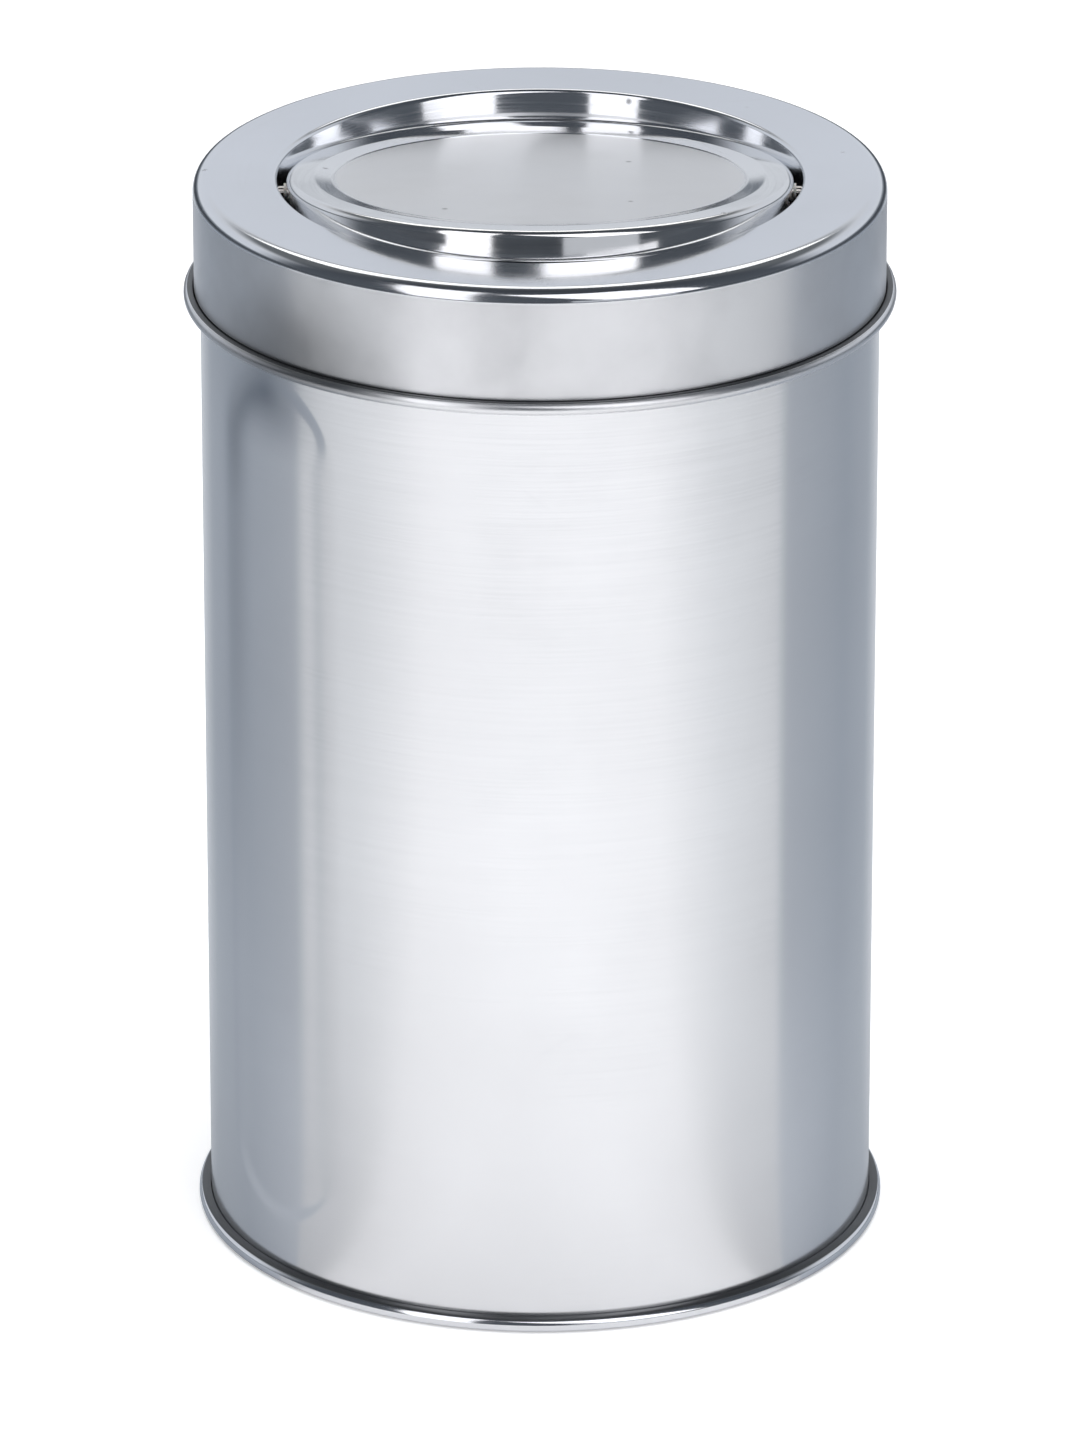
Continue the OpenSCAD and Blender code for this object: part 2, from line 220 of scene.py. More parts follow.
def turned(name: str, radius: Points, height: Points, angles: Points,
           poles: bool = False) -> Object:
    """A surface turned about the bin's axis.

    Point (i, j) is (radius cos a, radius sin a, height) with a the j-th angle. Its normal is the
    cross product of the two directions in which i and j grow: along the section, from the point
    before to the point after, and round the axis, from the radius and its rate of change.

    Args:
        name: name of the object.
        radius: radius at each point of the section and each angle, in millimetres.
        height: height at the same points.
        angles: angles in degrees, in order, without the repeated last one.
        poles: whether the section starts and ends on the axis, and is closed there by one point.

    Returns:
        The object, with smooth normals and a UV map in metres: round the bin, along the section.
    """
    rows, columns = radius.shape
    a = np.radians(angles)[None, :]
    cos, sin = np.cos(a), np.sin(a)
    place = paired(radius * cos, radius * sin, height)
    if poles:
        d_radius, d_height = np.gradient(radius, axis=0), np.gradient(height, axis=0)
    else:
        d_radius = np.roll(radius, -1, axis=0) - np.roll(radius, 1, axis=0)
        d_height = np.roll(height, -1, axis=0) - np.roll(height, 1, axis=0)
    wide = np.concatenate([a[0, -1:] - 2 * np.pi, a[0], a[0, :1] + 2 * np.pi])
    r_turn, z_turn = (np.gradient(np.hstack([v[:, -1:], v, v[:, :1]]), wide, axis=1)[:, 1:-1]
                      for v in (radius, height))
    along = paired(d_radius * cos, d_radius * sin, d_height)
    around = paired(r_turn * cos - radius * sin, r_turn * sin + radius * cos, z_turn)
    normal = np.cross(around, along)
    normal /= np.maximum(np.linalg.norm(normal, axis=-1, keepdims=True), 1e-12)
    flip = enclosed(paired(radius[:, 0], height[:, 0])) < 0
    if flip:
        normal = -normal

    grid = np.arange(rows * columns).reshape(rows, columns)
    body = grid[1:-1] if poles else np.vstack([grid, grid[:1]])
    right = np.roll(body, -1, axis=1)
    quads = np.stack([body[:-1], right[:-1], right[1:], body[1:]], axis=-1).reshape(-1, 4)
    length = np.linalg.norm(np.diff(place[:, 0], axis=0, append=place[:1, 0]), axis=1)
    run = np.concatenate([[0.0], np.cumsum(length)])
    turn = np.concatenate([np.radians(angles - angles[0]), [2 * np.pi]]) * radius.max()
    row_of = np.arange(1, rows - 1) if poles else np.arange(rows + 1)
    u0, u1 = turn[None, :-1], turn[None, 1:]
    v0, v1 = run[row_of][:-1, None], run[row_of][1:, None]
    corners = [paired(u0, v0), paired(u1, v0), paired(u1, v1), paired(u0, v1)]
    quad_uv = np.stack(corners, axis=2).reshape(-1, 4, 2)
    if flip:
        quads, quad_uv = quads[:, ::-1], quad_uv[:, ::-1]
    loops, sizes, uv = [quads.ravel()], [np.full(len(quads), 4)], [quad_uv.reshape(-1, 2)]
    points, normals = place.reshape(-1, 3), normal.reshape(-1, 3)
    if poles:
        for row, near in ((0, 1), (rows - 1, rows - 2)):
            ends = [(np.roll(grid[near], -1), turn[1:]), (grid[near], turn[:-1])]
            if (row == 0) == flip:
                ends.reverse()
            (first, first_u), (last, last_u) = ends
            pole = grid[row, 0]
            fan = [paired((turn[:-1] + turn[1:]) / 2, run[row]),
                   paired(first_u, run[near]), paired(last_u, run[near])]
            loops.append(paired(pole, first, last).ravel())
            sizes.append(np.full(columns, 3))
            uv.append(np.stack(fan, axis=1).reshape(-1, 2))
            normals[pole] = (0, 0, 1.0 if normals[grid[near], 2].mean() > 0 else -1.0)
    loop, size = np.concatenate(loops), np.concatenate(sizes)
    used = np.zeros(len(points), bool)
    used[loop] = True
    index = np.cumsum(used) - 1
    return make_mesh(name, points[used], index[loop], size, np.concatenate(uv), normals[used])


def make_mesh(name: str, points: Points, loop: Points, sizes: Points, uv: Points | None,
              normals: Points | None) -> Object:
    """Puts points and faces, given in millimetres, into a new object.

    Args:
        name: name of the object.
        points: places of the vertices.
        loop: vertex indices of all faces, one face after the other.
        sizes: number of corners of each face.
        uv: map coordinates of each face corner, in millimetres, or None.
        normals: unit normals of the vertices, or None for those of the faces around.

    Returns:
        The object, linked to the scene, at the origin.
    """
    mesh = bpy.data.meshes.new(name)
    mesh.vertices.add(len(points))
    mesh.vertices.foreach_set("co", (points * MM).astype(np.float32).ravel())
    mesh.loops.add(len(loop))
    mesh.loops.foreach_set("vertex_index", loop.astype(np.int32))
    mesh.polygons.add(len(sizes))
    starts = np.concatenate([[0], np.cumsum(sizes)[:-1]])
    mesh.polygons.foreach_set("loop_start", starts.astype(np.int32))
    mesh.polygons.foreach_set("loop_total", sizes.astype(np.int32))
    mesh.polygons.foreach_set("use_smooth", np.ones(len(sizes), bool))
    mesh.update(calc_edges=True)
    if uv is not None:
        layer = mesh.uv_layers.new(name="sheet")
        layer.data.foreach_set("uv", (uv * MM).astype(np.float32).ravel())
    mesh.validate()
    if normals is not None:
        mesh.normals_split_custom_set_from_vertices(normals.tolist())
    return placed(name, mesh)


def placed(name: str, data: bpy.types.ID) -> Object:
    """A new object of the scene with this mesh, camera or lamp."""
    thing = bpy.data.objects.new(name, data)
    bpy.context.scene.collection.objects.link(thing)
    return thing


def repeated(section: Points, angles: Points) -> tuple[Points, Points]:
    """Radius and height of a section's points, the same at every angle."""
    return tuple(np.repeat(section[:, i:i + 1], len(angles), axis=1) for i in (0, 1))


def spun(name: str, section: Points, angles: Points, poles: bool = False) -> Object:
    """A plain turned piece: the same section at every angle."""
    return turned(name, *repeated(section, angles), angles, poles)


def read(items: bpy.types.bpy_prop_collection, what: str) -> Points:
    """A vector that each vertex, face or corner of a mesh has, as one row each."""
    values = np.zeros(len(items) * 3, np.float32)
    items.foreach_get(what, values)
    return values.reshape(-1, 3)


def extruded(name: str, outline: Points, half: float, soft: float) -> Object:
    """A solid with this outline in X and Z, and rounded edges at both ends along Y.

    At angle v of the rounding, the outline is moved in by soft (1 - cos v), and lies at
    half - soft + soft sin v along Y. The normal there is cos v times the outline's, plus sin v
    along Y.

    Args:
        name: name of the object.
        outline: points of the outline, all the way round.
        half: half the length along Y.
        soft: radius of the rounded edges.

    Returns:
        The object.
    """
    if enclosed(outline) < 0:
        outline = outline[::-1]
    way = np.roll(outline, -1, axis=0) - np.roll(outline, 1, axis=0)
    way /= np.linalg.norm(way, axis=1, keepdims=True)
    out = paired(way[:, 1], -way[:, 0])
    v = np.radians(np.linspace(0, 90, 4))
    v = np.concatenate([-v[::-1], v])
    cos, sin = np.cos(v)[:, None], np.sin(v)[:, None]
    y = np.where(np.arange(len(v)) < 4, soft - half, half - soft)[:, None] + soft * sin
    x = outline[:, 0] - out[:, 0] * soft * (1 - cos)
    z = outline[:, 1] - out[:, 1] * soft * (1 - cos)
    place = paired(x, y, z)
    normal = paired(out[:, 0] * cos, sin, out[:, 1] * cos)
    grid = np.arange(x.size).reshape(x.shape)
    right = np.roll(grid, -1, axis=1)
    quads = np.stack([grid[:-1], grid[1:], right[1:], right[:-1]], axis=-1).reshape(-1, 4)
    loop = np.concatenate([quads.ravel(), grid[0], grid[-1, ::-1]])
    sizes = np.concatenate([np.full(len(quads), 4), [len(outline), len(outline)]])
    return make_mesh(name, place.reshape(-1, 3), loop, sizes, None, normal.reshape(-1, 3))


def even(count: int) -> Points:
    """Evenly spaced angles, starting at the back."""
    return 90 + np.arange(count) * 360.0 / count


# Finishes

class Nodes:
    """A small helper that adds and links the nodes of a material or world."""

    def __init__(self, owner: Material | bpy.types.World) -> None:
        """Starts with an empty tree."""
        self.owner = owner
        owner.use_nodes = True
        self.tree = owner.node_tree
        self.tree.nodes.clear()

    def add(self, kind: str, inputs: dict | None = None, **settings: object) -> bpy.types.Node:
        """Adds a node.

        Args:
            kind: the node's type, without its ShaderNode prefix.
            inputs: a value, an output socket or a node, which stands for its first output, for
                each input, by name or number.
            settings: the node's own properties.

        Returns:
            The node.
        """
        node = self.tree.nodes.new("ShaderNode" + kind)
        for key, value in settings.items():
            setattr(node, key, value)
        for key, value in (inputs or {}).items():
            if isinstance(value, bpy.types.Node):
                value = value.outputs[0]
            if isinstance(value, Socket):
                self.tree.links.new(value, node.inputs[key])
            else:
                node.inputs[key].default_value = value
        return node

    def length(self, vector: object) -> Socket:
        """The length of a vector."""
        return self.add("VectorMath", {0: vector}, operation="LENGTH").outputs["Value"]

    def math(self, operation: str, a: object, b: object = 0.0, clamp: bool = False) -> Socket:
        """The output of a Math node on a and b."""
        return self.add("Math", {0: a, 1: b}, operation=operation, use_clamp=clamp).outputs[0]

    def plus(self, base: object, value: object, share: float, clamp: bool = False) -> Socket:
        """The base and this share of a value, added."""
        return self.math("ADD", base, self.math("MULTIPLY", value, share), clamp)

    def span(self, value: object, low: float, high: float, to_low: float, to_high: float,
             soft: bool = False) -> Socket:
        """The output of a Map Range node, held inside its ends."""
        kind = "SMOOTHSTEP" if soft else "LINEAR"
        inputs = {0: value, 1: low, 2: high, 3: to_low, 4: to_high}
        return self.add("MapRange", inputs, interpolation_type=kind).outputs[0]

    def noise(self, vector: object, scale: float, detail: float = 2.0,
              rough: float = 0.5) -> Socket:
        """The plain value of a Noise node, about 0.5 in the middle."""
        inputs = {"Vector": vector, "Scale": scale, "Detail": detail, "Roughness": rough}
        return self.add("TexNoise", inputs).outputs[0]

    def mix(self, factor: object, a: object, b: object) -> Socket:
        """A colour between a and b."""
        return self.add("Mix", {0: factor, 6: a, 7: b}, data_type="RGBA").outputs[2]


# What marks add to the roughness, how strongly they tint, and the share of the colour they leave.
SCRATCH_ROUGH, SPECK_ROUGH, GRAIN_ROUGH = 0.12, 0.3, 0.03
SMUDGE_TINT, SPECK_TINT, PATCH_TINT = 1.2, 0.55, 0.8
SMUDGE_SHADE, SPECK_SHADE, PATCH_SHADE = 0.7, 0.42, 0.3
# Colour shares of the painted shade on the body's pressed panel, for red, green and blue.
PANEL_SHADE_TONES = (0.09, 0.13, 0.18)
PATCH_REACH_M = (0.008, 0.032)
SCRATCH_DEEP_M = 0.25e-6


@dataclass(frozen=True)
class Steel:
    """A finish of bare stainless steel.

    Heights are in micrometres. The roughness is that of the clean metal. A handled surface has
    cloudy smudges and hairline scratches, which are a little rougher, and small dull specks.
    Between the two radii of the matt zone the roughness is that of the third number. A dark patch
    is a patch of darker colour with a soft edge, about 40 mm wide, round the place given. A finish
    with panel shade is darkened by painted shade, by the mesh's own attribute named panel_shade,
    from 0 to 1.
    """

    name: str
    colour: Colour
    roughness: float
    stretch: float = 0.0
    stretch_turn: float = 0.25
    grain: Grain = Grain.NONE
    grain_height: float = 0.0
    grain_pitch: float = 0.35
    wave_height: float = 0.0
    wave_length: float = 45.0
    smudge: float = 0.05
    cloud: float = 0.04
    scratch: float = 0.3
    speck: float = 0.0
    matt_zone: Triple | None = None
    dark_patch: Triple | None = None
    panel_shaded: bool = False

    def material(self) -> Material:
        """Builds the node material, on object coordinates.

        Returns:
            The material.
        """
        n = Nodes(bpy.data.materials.new(self.name))
        spot = n.add("TexCoord").outputs["Object"]
        x, y, z = n.add("SeparateXYZ", {0: spot}).outputs
        radius = n.length(n.add("CombineXYZ", {0: x, 1: y, 2: 0.0}))

        smudge = n.span(n.noise(spot, 32.0, 5.0, 0.62), 0.42, 0.72, 0.0, 1.0, soft=True)
        cloud = n.noise(spot, 11.0, 3.0)
        scratch = self._scratches(n, spot)
        speck = self._specks(n, spot)
        rough = n.plus(self._roughness(n, radius), smudge, self.smudge)
        rough = n.plus(rough, scratch, SCRATCH_ROUGH * self.scratch)
        rough = n.plus(rough, speck, SPECK_ROUGH, clamp=True)

        cloud = n.span(cloud, 0.35, 0.65, 0.0, 1.0)
        colour = n.mix(cloud, self._shade(1 - self.cloud), self._shade(1 + self.cloud))
        dim = n.math("MULTIPLY", smudge, self.smudge * SMUDGE_TINT)
        colour = n.mix(dim, colour, self._shade(SMUDGE_SHADE))
        colour = n.mix(n.math("MULTIPLY", speck, SPECK_TINT), colour, self._shade(SPECK_SHADE))
        # A patch of darker colour with a soft edge, round a given place.
        if self.dark_patch:
            middle = tuple(c * MM for c in self.dark_patch)
            far = n.add("VectorMath", {0: spot, 1: middle}, operation="DISTANCE").outputs["Value"]
            far = n.plus(far, n.noise(spot, 60.0, 3.0), PATCH_REACH_M[0])
            dark_patch = n.span(far, *PATCH_REACH_M, PATCH_TINT, 0.0, soft=True)
            colour = n.mix(dark_patch, colour, self._shade(PATCH_SHADE))
        # Painted shade: darker by the mesh's own shade attribute, from 0 to 1.
        if self.panel_shaded:
            panel_shade = n.add("Attribute", attribute_name="panel_shade").outputs["Fac"]
            colour = n.mix(panel_shade, colour, self._shade(*PANEL_SHADE_TONES))

        height = n.math("MULTIPLY", scratch, -SCRATCH_DEEP_M * self.scratch)
        if self.grain is Grain.ROUND:
            run = n.math("SUBTRACT", radius, z)
            across = n.math("MULTIPLY", run, 1.0 / (self.grain_pitch * MM))
            long_x, long_y = (n.math("MULTIPLY", part, 30.0) for part in (x, y))
            line = n.add("CombineXYZ", {0: across, 1: long_x, 2: long_y})
            lines = n.noise(line, 1.0, 3.0, 0.6)
            height = n.plus(height, lines, self.grain_height * MICRON)
            uneven = n.span(lines, 0.3, 0.7, -GRAIN_ROUGH, GRAIN_ROUGH)
            rough = n.math("ADD", rough, uneven, clamp=True)
        if self.wave_height:
            wave = n.noise(spot, 1.0 / (self.wave_length * MM), 1.5, 0.4)
            height = n.plus(height, wave, self.wave_height * MICRON)
        bump = n.add("Bump", {"Strength": 1.0, "Distance": 1.0, "Height": height})

        steel = n.add("BsdfPrincipled", {
            "Base Color": colour, "Metallic": 1.0, "Roughness": rough, "Normal": bump,
            "Anisotropic": self.stretch, "Anisotropic Rotation": self.stretch_turn})
        if self.stretch:
            way = n.add("Tangent", direction_type="UV_MAP", uv_map="sheet")
            n.tree.links.new(way.outputs[0], steel.inputs["Tangent"])
        n.add("OutputMaterial", {"Surface": steel})
        return n.owner

    def _shade(self, *shares: float) -> tuple[float, ...]:
        """The metal's colour times one share, or times one for each of red, green and blue."""
        shares = shares if len(shares) == 3 else shares * 3
        return (*(min(1.0, c * share) for c, share in zip(self.colour, shares)), 1)

    def _roughness(self, n: Nodes, radius: Socket) -> Socket | float:
        """The clean metal's roughness, with soft steps 1 mm wide at both radii of the matt zone."""
        if self.matt_zone is None:
            return self.roughness
        low, high, matt = self.matt_zone
        outside = n.span(radius, (high - 0.5) * MM, (high + 0.5) * MM, 0.0, 1.0, soft=True)
        inside = n.span(radius, (low - 0.5) * MM, (low + 0.5) * MM, 1.0, 0.0, soft=True)
        clean = n.math("MAXIMUM", inside, outside)
        return n.span(clean, 0.0, 1.0, matt, self.roughness)

    def _scratches(self, n: Nodes, spot: Socket) -> Socket:
        """Thin bent lines: where a wide, bent cell pattern comes close to its edges, in places."""
        bend = n.add("TexNoise", {"Vector": spot, "Scale": 26.0, "Detail": 1.0}).outputs["Color"]
        bend = n.add("VectorMath", {0: bend, 3: 0.02}, operation="SCALE")
        place = n.add("VectorMath", {0: spot, 1: bend}, operation="ADD")
        edge = n.add("TexVoronoi", {"Vector": place, "Scale": 42.0}, feature="DISTANCE_TO_EDGE")
        line = n.span(edge.outputs[0], 0.0, 0.009, 1.0, 0.0)
        some = n.span(n.noise(spot, 55.0, 2.0), 0.52, 0.62, 0.0, 1.0)
        return n.math("MULTIPLY", line, some)

    def _specks(self, n: Nodes, spot: Socket) -> Socket:
        """Small round marks in a few cells of a cell pattern."""
        cell = n.add("TexVoronoi", {"Vector": spot, "Scale": 190.0, "Randomness": 1.0})
        dot = n.span(cell.outputs["Distance"], 0.05, 0.13, 1.0, 0.0)
        pick = n.add("SeparateColor", {0: cell.outputs["Color"]})
        few = n.math("MULTIPLY", dot, n.math("GREATER_THAN", pick, 0.9))
        return n.math("MULTIPLY", few, self.speck)


@dataclass(frozen=True)
class Nylon:
    """A finish of grey moulded nylon."""

    name: str
    colour: Colour

    def material(self) -> Material:
        """Builds the node material: a slightly cloudy, waxy plastic with a fine moulded skin."""
        n = Nodes(bpy.data.materials.new(self.name))
        spot = n.add("TexCoord").outputs["Object"]
        cloud = n.noise(spot, 260.0, 3.0)
        colour = n.mix(cloud, (*(c * 0.9 for c in self.colour), 1), (*self.colour, 1))
        skin = n.math("MULTIPLY", n.noise(spot, 5200.0, 2.0), 4 * MICRON)
        bump = n.add("Bump", {"Strength": 1.0, "Distance": 1.0, "Height": skin})
        plastic = n.add("BsdfPrincipled", {
            "Base Color": colour, "Roughness": n.span(cloud, 0.3, 0.7, 0.38, 0.5), "Normal": bump,
            "Subsurface Weight": 0.15, "Subsurface Scale": 0.0008})
        n.add("OutputMaterial", {"Surface": plastic})
        return n.owner


BODY_STEEL = Steel("satin_body", (0.905, 0.91, 0.92), 0.17, stretch=0.7, grain=Grain.ROUND,
                   grain_height=0.15, wave_height=8.0, smudge=0.03, scratch=0.25, panel_shaded=True)
# The skirt has a patch of darker colour on its front left.
SKIRT_STEEL = Steel("satin_skirt", (0.885, 0.89, 0.90), 0.28, stretch=0.5, wave_height=8.0,
                    wave_length=26.0, smudge=0.16, cloud=0.07, scratch=0.15, speck=0.6,
                    dark_patch=(-42.0, -42.8, 168.0))
# Painted shade: a near-black, rough steel for the beads' tops, in the corners where they meet the
# sheet.
CREVICE_SHADE_STEEL = Steel("painted_crevice_shade", (0.17, 0.175, 0.18), 0.42, smudge=0.1, cloud=0.1)
LID_STEEL = Steel("polished_lid", (0.87, 0.885, 0.91), 0.1, grain=Grain.ROUND, grain_height=0.12,
                  wave_height=7.0, wave_length=60.0, smudge=0.05, scratch=0.7, speck=1.0,
                  matt_zone=(47.0, 57.0, 0.13))
FLAP_STEEL = Steel("polished_flap", (0.925, 0.925, 0.925), 0.09, grain=Grain.ROUND,
                   grain_height=0.15, wave_height=7.0, wave_length=40.0, smudge=0.07, cloud=0.03,
                   scratch=0.9, speck=1.0, matt_zone=(-1.0, 35.5, 0.42))
TRIM_STEEL = Steel("polished_trim", (0.90, 0.91, 0.93), 0.12, smudge=0.05, scratch=0.4)
BASE_STEEL = Steel("mill_base", (0.72, 0.74, 0.77), 0.28, wave_height=8.0, smudge=0.12, cloud=0.06)
WIRE_STEEL = Steel("drawn_wire", (0.62, 0.63, 0.65), 0.35, smudge=0.1, cloud=0.08)
INNER_STEEL = Steel("plain_sheet", (0.66, 0.67, 0.69), 0.26, wave_height=3.0, wave_length=12.0,
                    smudge=0.14, cloud=0.06)
PIN_STEEL = Steel("turned_pin", (0.74, 0.70, 0.66), 0.2, smudge=0.06)
WEIGHT_STEEL = Steel("plain_bar", (0.50, 0.51, 0.53), 0.38, wave_height=4.0, wave_length=8.0,
                     smudge=0.16, cloud=0.12)
BUSH_PLASTIC = Nylon("bush_nylon", (0.45, 0.44, 0.42))
MADE: dict[Steel | Nylon, Material] = {}


def dress(thing: Object, *finishes: Steel | Nylon) -> None:
    """Gives an object these finishes, in the order of its material slots."""
    thing.data.materials.clear()
    for finish in finishes:
        if finish not in MADE:
            MADE[finish] = finish.material()
        thing.data.materials.append(MADE[finish])


def finish_piece(thing: Object, body: str, slot: str, *nodes: str) -> None:
    """Lets a new piece ride on a body and stand for CAD nodes, which it hides."""
    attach(thing, body)
    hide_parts(*nodes)
    count = len(thing.data.polygons)
    log.info("%s: %d faces, on %s, for %s", thing.name, count, body, ", ".join(nodes))


# Sub-assemblies

@dataclass
class Body:
    """The rolled body with its curled top edge, side seam and pressed panel."""

    curl_r: float = 1.1
    foot_bend: float = 0.45
    panel_w: float = 31.5
    panel_depth: float = 0.4
    panel_turn: float = 51.0
    panel_low: float = 11.0
    panel_top: float = 168.8
    panel_edge: float = 3.0
    panel_side: float = 7.0
    seam_lap: float = 2.5
    seam_low: float = 7.3
    seam_stop: float = 2.1
    seam_fade: float = 0.8
    groove_w: float = 0.3
    groove_depth: float = 0.15
    row_gap: float = 7.0
    end_gap: float = 0.62
    shade_in: float = 3.2
    shade_w: float = 3.4
    shade_end_w: float = 9.0

    def build(self) -> None:
        """Makes the shell from its section, pressed in where the panel and the seam are.

        The section's radius is moved in by the panel's depth inside the panel's outline, and at
        the back by a narrow groove outside and the lap's thickness inside.
        """
        low, high = box_of("body_shell")
        mid_r = WALL_R - SHEET_T / 2
        foot_z = low[2] + SHEET_T / 2
        curl_z = high[2] - self.curl_r
        curl_mid = self.curl_r - SHEET_T / 2
        edge = self.panel_w / 2
        ends = (self.panel_low + edge / 2, self.panel_top - edge / 2)
        rows = graded(foot_z + self.foot_bend, curl_z, self.row_gap,
                      *((end, edge / 2 + 1.5, self.end_gap) for end in ends),
                      (self.seam_low + self.seam_fade / 2, 1.4, 0.4), (curl_z - 1.8, 1.8, 0.3))
        wall = paired(mid_r, rows)
        foot = bent((high[0] - SHEET_T / 2, foot_z, 0), (mid_r, foot_z, self.foot_bend),
                    (mid_r, foot_z + 2, 0))
        path = joined(foot[:-1], wall, arc(mid_r - curl_mid, curl_z, curl_mid, 0, 325))

        turn = math.degrees(1 / WALL_R)
        middle = 270 - self.panel_turn
        sides = [(middle + way * edge * turn, 2.6 * turn, 0.5 * turn) for way in (-1, 1)]
        seam = [(back, 3.2 * turn, 0.22 * turn) for back in (90, 450)]
        angles = graded(90, 450, 1.7, *sides, (middle, edge * turn, 0.75 * turn), *seam)[:-1]
        radius, height = repeated(sheet(path, SHEET_T), angles)
        on_wall = np.abs(radius - mid_r) < SHEET_T
        on_wall &= (height > foot_z + 1) & (height < curl_z)
        radius -= on_wall * self._panel(angles, height)
        radius -= on_wall * self._seam(angles, height, radius > mid_r, curl_z)
        shell = turned("body_sheet", radius, height, angles)
        # Painted shade down the pressed panel's left edge and at its top, kept on each vertex.
        panel_shade = shell.data.attributes.new("panel_shade", "FLOAT", "POINT")
        panel_shade.data.foreach_set("value", self._panel_shade(shell).astype(np.float32))
        dress(shell, BODY_STEEL)
        finish_piece(shell, "bin", "body_steel", "body_shell")
        dress(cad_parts["rim_wire"], WIRE_STEEL)

    def _across(self, angles: Points, middle: float) -> Points:
        """How far round the wall each angle is from the middle one, in millimetres."""
        return np.radians((angles - middle + 180) % 360 - 180) * WALL_R

    def _panel(self, angles: Points, height: Points) -> Points:
        """Depth of the panel: its greatest depth times a soft step of the way into a stadium.

        The step is narrow at the round ends and grows wide along the straight sides.
        """
        across = self._across(angles, 270 - self.panel_turn)[None, :]
        half = self.panel_w / 2
        middle = (self.panel_low + self.panel_top) / 2
        straight = (self.panel_top - self.panel_low) / 2 - half
        past = np.maximum(np.abs(height - middle) - straight, 0)
        inside = half - np.hypot(across, past)
        width = self.panel_side + (self.panel_edge - self.panel_side) * smooth(past / (0.6 * half))
        return self.panel_depth * smooth(inside / width)

    def _panel_shade(self, shell: Object) -> Points:
        """Painted shade on the panel, from 0 to 1: down its left edge, and at its top.

        Each is a bell shape across times soft steps of the height, and they join as 1-(1-a)(1-b).
        The edge grows darker from 60 mm up, and more so from 138 mm, and the top from 152.5 mm.
        """
        x, y, z = read(shell.data.vertices, "co").T / MM
        across = self._across(np.degrees(np.arctan2(y, x)), 270 - self.panel_turn)
        half = self.panel_w / 2
        rim = half - np.hypot(across, np.maximum(z - self.panel_top + half, 0))
        edge = np.exp(-((rim - self.shade_in) / self.shade_w) ** 2) * smooth(0.5 - across / 6)
        edge *= 0.24 * smooth((z - 60) / 70) + 0.2 * smooth((z - 138) / 20)
        end = 0.45 * np.exp(-(across / self.shade_end_w) ** 2) * smooth((z - 152.5) / 12)
        return 1 - (1 - edge) * (1 - end)

    def _seam(self, angles: Points, height: Points, outer: Points, curl_z: float) -> Points:
        """The seam: a bell-shaped groove outside, and one more layer of sheet inside."""
        across = self._across(angles, 90)[None, :]
        groove = self.groove_depth * np.exp(-(across / self.groove_w) ** 2)
        lap = SHEET_T * smooth((self.seam_lap - np.abs(across)) / 0.35 + 0.5)
        starts = smooth((height - self.seam_low) / self.seam_fade)
        stops = smooth((curl_z - self.seam_stop - height) / self.seam_fade)
        return np.where(outer, groove, lap) * (starts * stops)


@dataclass
class Foot:
    """The rolled hoop round the foot, and the pressed base plate that it holds.

    The hoop's top carries painted shade from the angle shade_from on, above the level of its
    middle.
    """

    hoop_t: float = 0.65
    plate_t: float = 0.8
    hub_r: float = 58.3
    step_r: float = 42.0
    step_w: float = 1.5
    step_h: float = 0.8
    floor_z: float = 5.1
    step_bend: float = 2.2
    hoop_gap: float = 0.02
    shade_from: float = 52.0

    def build(self) -> None:
        """Makes the hoop, painted dark on top as shade where it meets the body, and the base plate.
        """
        high = box_of("base_hoop")[1]
        shell_low = box_of("body_shell")[0, 2]
        bead_r = high[2] / 2
        mid = bead_r - self.hoop_t / 2
        inner_r = self.hub_r - self.plate_t
        half = self.hoop_t / 2
        path = joined(np.array([[inner_r + 0.33, half]]),
                      arc(high[0] - bead_r, bead_r, mid, -90, 90),
                      np.array([[WALL_R + half + self.hoop_gap, high[2] - half]]))
        hoop = spun("base_hoop_roll", sheet(path, self.hoop_t), even(300))
        dress(hoop, TRIM_STEEL, CREVICE_SHADE_STEEL)
        x, y, z = read(hoop.data.polygons, "center").T / MM
        out = np.hypot(x, y) - (high[0] - bead_r)
        # Faces on the hoop's top, next to the body, get the painted shade.
        dull = np.degrees(np.arctan2(z - bead_r, out)) > self.shade_from
        hoop.data.polygons.foreach_set("material_index", dull.astype(np.int32))
        finish_piece(hoop, "bin", "trim_steel", "base_hoop")

        half = self.plate_t / 2
        flange_z = shell_low - half
        hub = self.hub_r - half
        top = self.floor_z + self.step_h
        path = bent((0, top, 0), (self.step_r, top, self.step_bend),
                    (self.step_r + self.step_w, self.floor_z, self.step_bend),
                    (hub, self.floor_z, 1.0), (hub, flange_z, 0.6), (high[0] - 1.2, flange_z, 0))
        inner = paired(np.linspace(0, self.step_r * 0.9, 12), top)
        section = sheet(joined(inner, path[1:]), self.plate_t, from_axis=True)
        plate = spun("base_pressing", section, even(240), poles=True)
        dress(plate, BASE_STEEL)
        finish_piece(plate, "bin", "base_steel", "base_plate")


